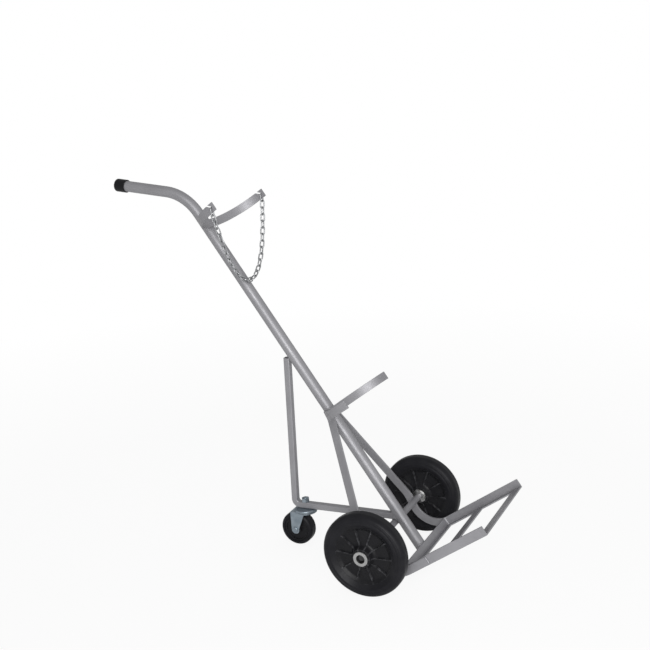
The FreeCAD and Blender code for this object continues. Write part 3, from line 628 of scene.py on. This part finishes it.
def facing(azimuth, elevation, roll=0.0):
    """Axes of a camera or lamp that looks at the cart from an azimuth and elevation, in degrees."""
    turn, rise, twist = (math.radians(angle) for angle in (azimuth, elevation, roll))
    back = Vector((math.sin(turn) * math.cos(rise), -math.cos(turn) * math.cos(rise), math.sin(rise)))
    right = Vector((math.cos(turn), math.sin(turn), 0))
    up = back.cross(right)
    side = right * math.cos(twist) + up * math.sin(twist)
    top = up * math.cos(twist) - right * math.sin(twist)
    return Matrix((side, top, back)).transposed()


def studio():
    """Pale floor that fades to white, a sky brighter ahead, a broad key light and a low fill panel."""
    bpy.ops.mesh.primitive_plane_add(size=2 * FLOOR_REACH, location=(0, 0, 0))
    floor = bpy.context.object
    floor.name = "floor"
    mat = bpy.data.materials.new("pale_floor")
    mat.use_nodes = True
    tree = mat.node_tree
    tree.nodes.clear()
    coords = add(mat, "TexCoord").outputs["Object"]
    away = add(mat, "VectorMath", {"operation": "LENGTH"})
    plug(mat, away.inputs[0], coords)
    fade = span(mat, away.outputs["Value"], FLOOR_FADE[0], FLOOR_FADE[1], FLOOR_GLOW, 1.0)
    rays = add(mat, "LightPath").outputs
    lit = add(mat, "BsdfDiffuse", Color=FLOOR_COLOUR)
    glow = add(mat, "Emission", Color=(1, 1, 1, 1), Strength=1.0)
    blend = add(mat, "MixShader")
    plug(mat, blend.inputs[0], math_node(mat, "MULTIPLY", fade, rays["Is Camera Ray"]))
    plug(mat, blend.inputs[1], lit.outputs[0])
    plug(mat, blend.inputs[2], glow.outputs[0])
    out = add(mat, "OutputMaterial")
    plug(mat, out.inputs["Surface"], blend.outputs[0])
    floor.data.materials.append(mat)

    world = bpy.data.worlds.new("studio")
    bpy.context.scene.world = world
    world.use_nodes = True
    world.node_tree.nodes.clear()
    rays = add(world, "LightPath").outputs
    seen = math_node(world, "MAXIMUM", rays["Is Camera Ray"], rays["Is Transmission Ray"])
    backdrop = add(world, "Background", Color=(1, 1, 1, 1), Strength=1.0)
    ahead = add(world, "SeparateXYZ", Vector=add(world, "TexCoord").outputs["Generated"]).outputs["X"]
    sky = add(world, "Background", Color=(1, 1, 1, 1), Strength=span(world, ahead, -1.0, 1.0, *SKY_LIGHT))
    blend = add(world, "MixShader")
    plug(world, blend.inputs[0], seen)
    plug(world, blend.inputs[1], sky.outputs[0])
    plug(world, blend.inputs[2], backdrop.outputs[0])
    out = add(world, "OutputWorld")
    plug(world, out.inputs["Surface"], blend.outputs[0])

    lamp = bpy.data.lights.new("key", "SUN")
    lamp.energy = KEY_LIGHT
    lamp.angle = math.radians(KEY_ANGLE)
    key = bpy.data.objects.new("key", lamp)
    key.matrix_world = facing(KEY_AZIMUTH, KEY_ELEVATION).to_4x4()
    bpy.context.scene.collection.objects.link(key)

    lamp = bpy.data.lights.new("fill", "AREA")
    lamp.energy = FILL_POWER
    lamp.size = FILL_SIZE
    fill = bpy.data.objects.new("fill", lamp)
    fill.location = FILL_SPOT
    aim = Vector(FILL_AIM) - Vector(FILL_SPOT)
    fill.rotation_euler = aim.to_track_quat("-Z", "Y").to_euler()
    fill.visible_camera = False
    bpy.context.scene.collection.objects.link(fill)


def camera():
    lens = bpy.data.cameras.new("camera")
    lens.sensor_width = CAMERA_SENSOR
    lens.lens = CAMERA_LENS
    view = bpy.data.objects.new("camera", lens)
    view.matrix_world = facing(CAMERA_AZIMUTH, CAMERA_ELEVATION, CAMERA_ROLL).to_4x4()
    view.location = CAMERA_SPOT
    bpy.context.scene.collection.objects.link(view)
    bpy.context.scene.camera = view
    bpy.context.scene.view_settings.view_transform = "Standard"


enamel = dress()
weld_spine(enamel)
weld_toe(enamel)
weld_axle(enamel)
studio()
camera()
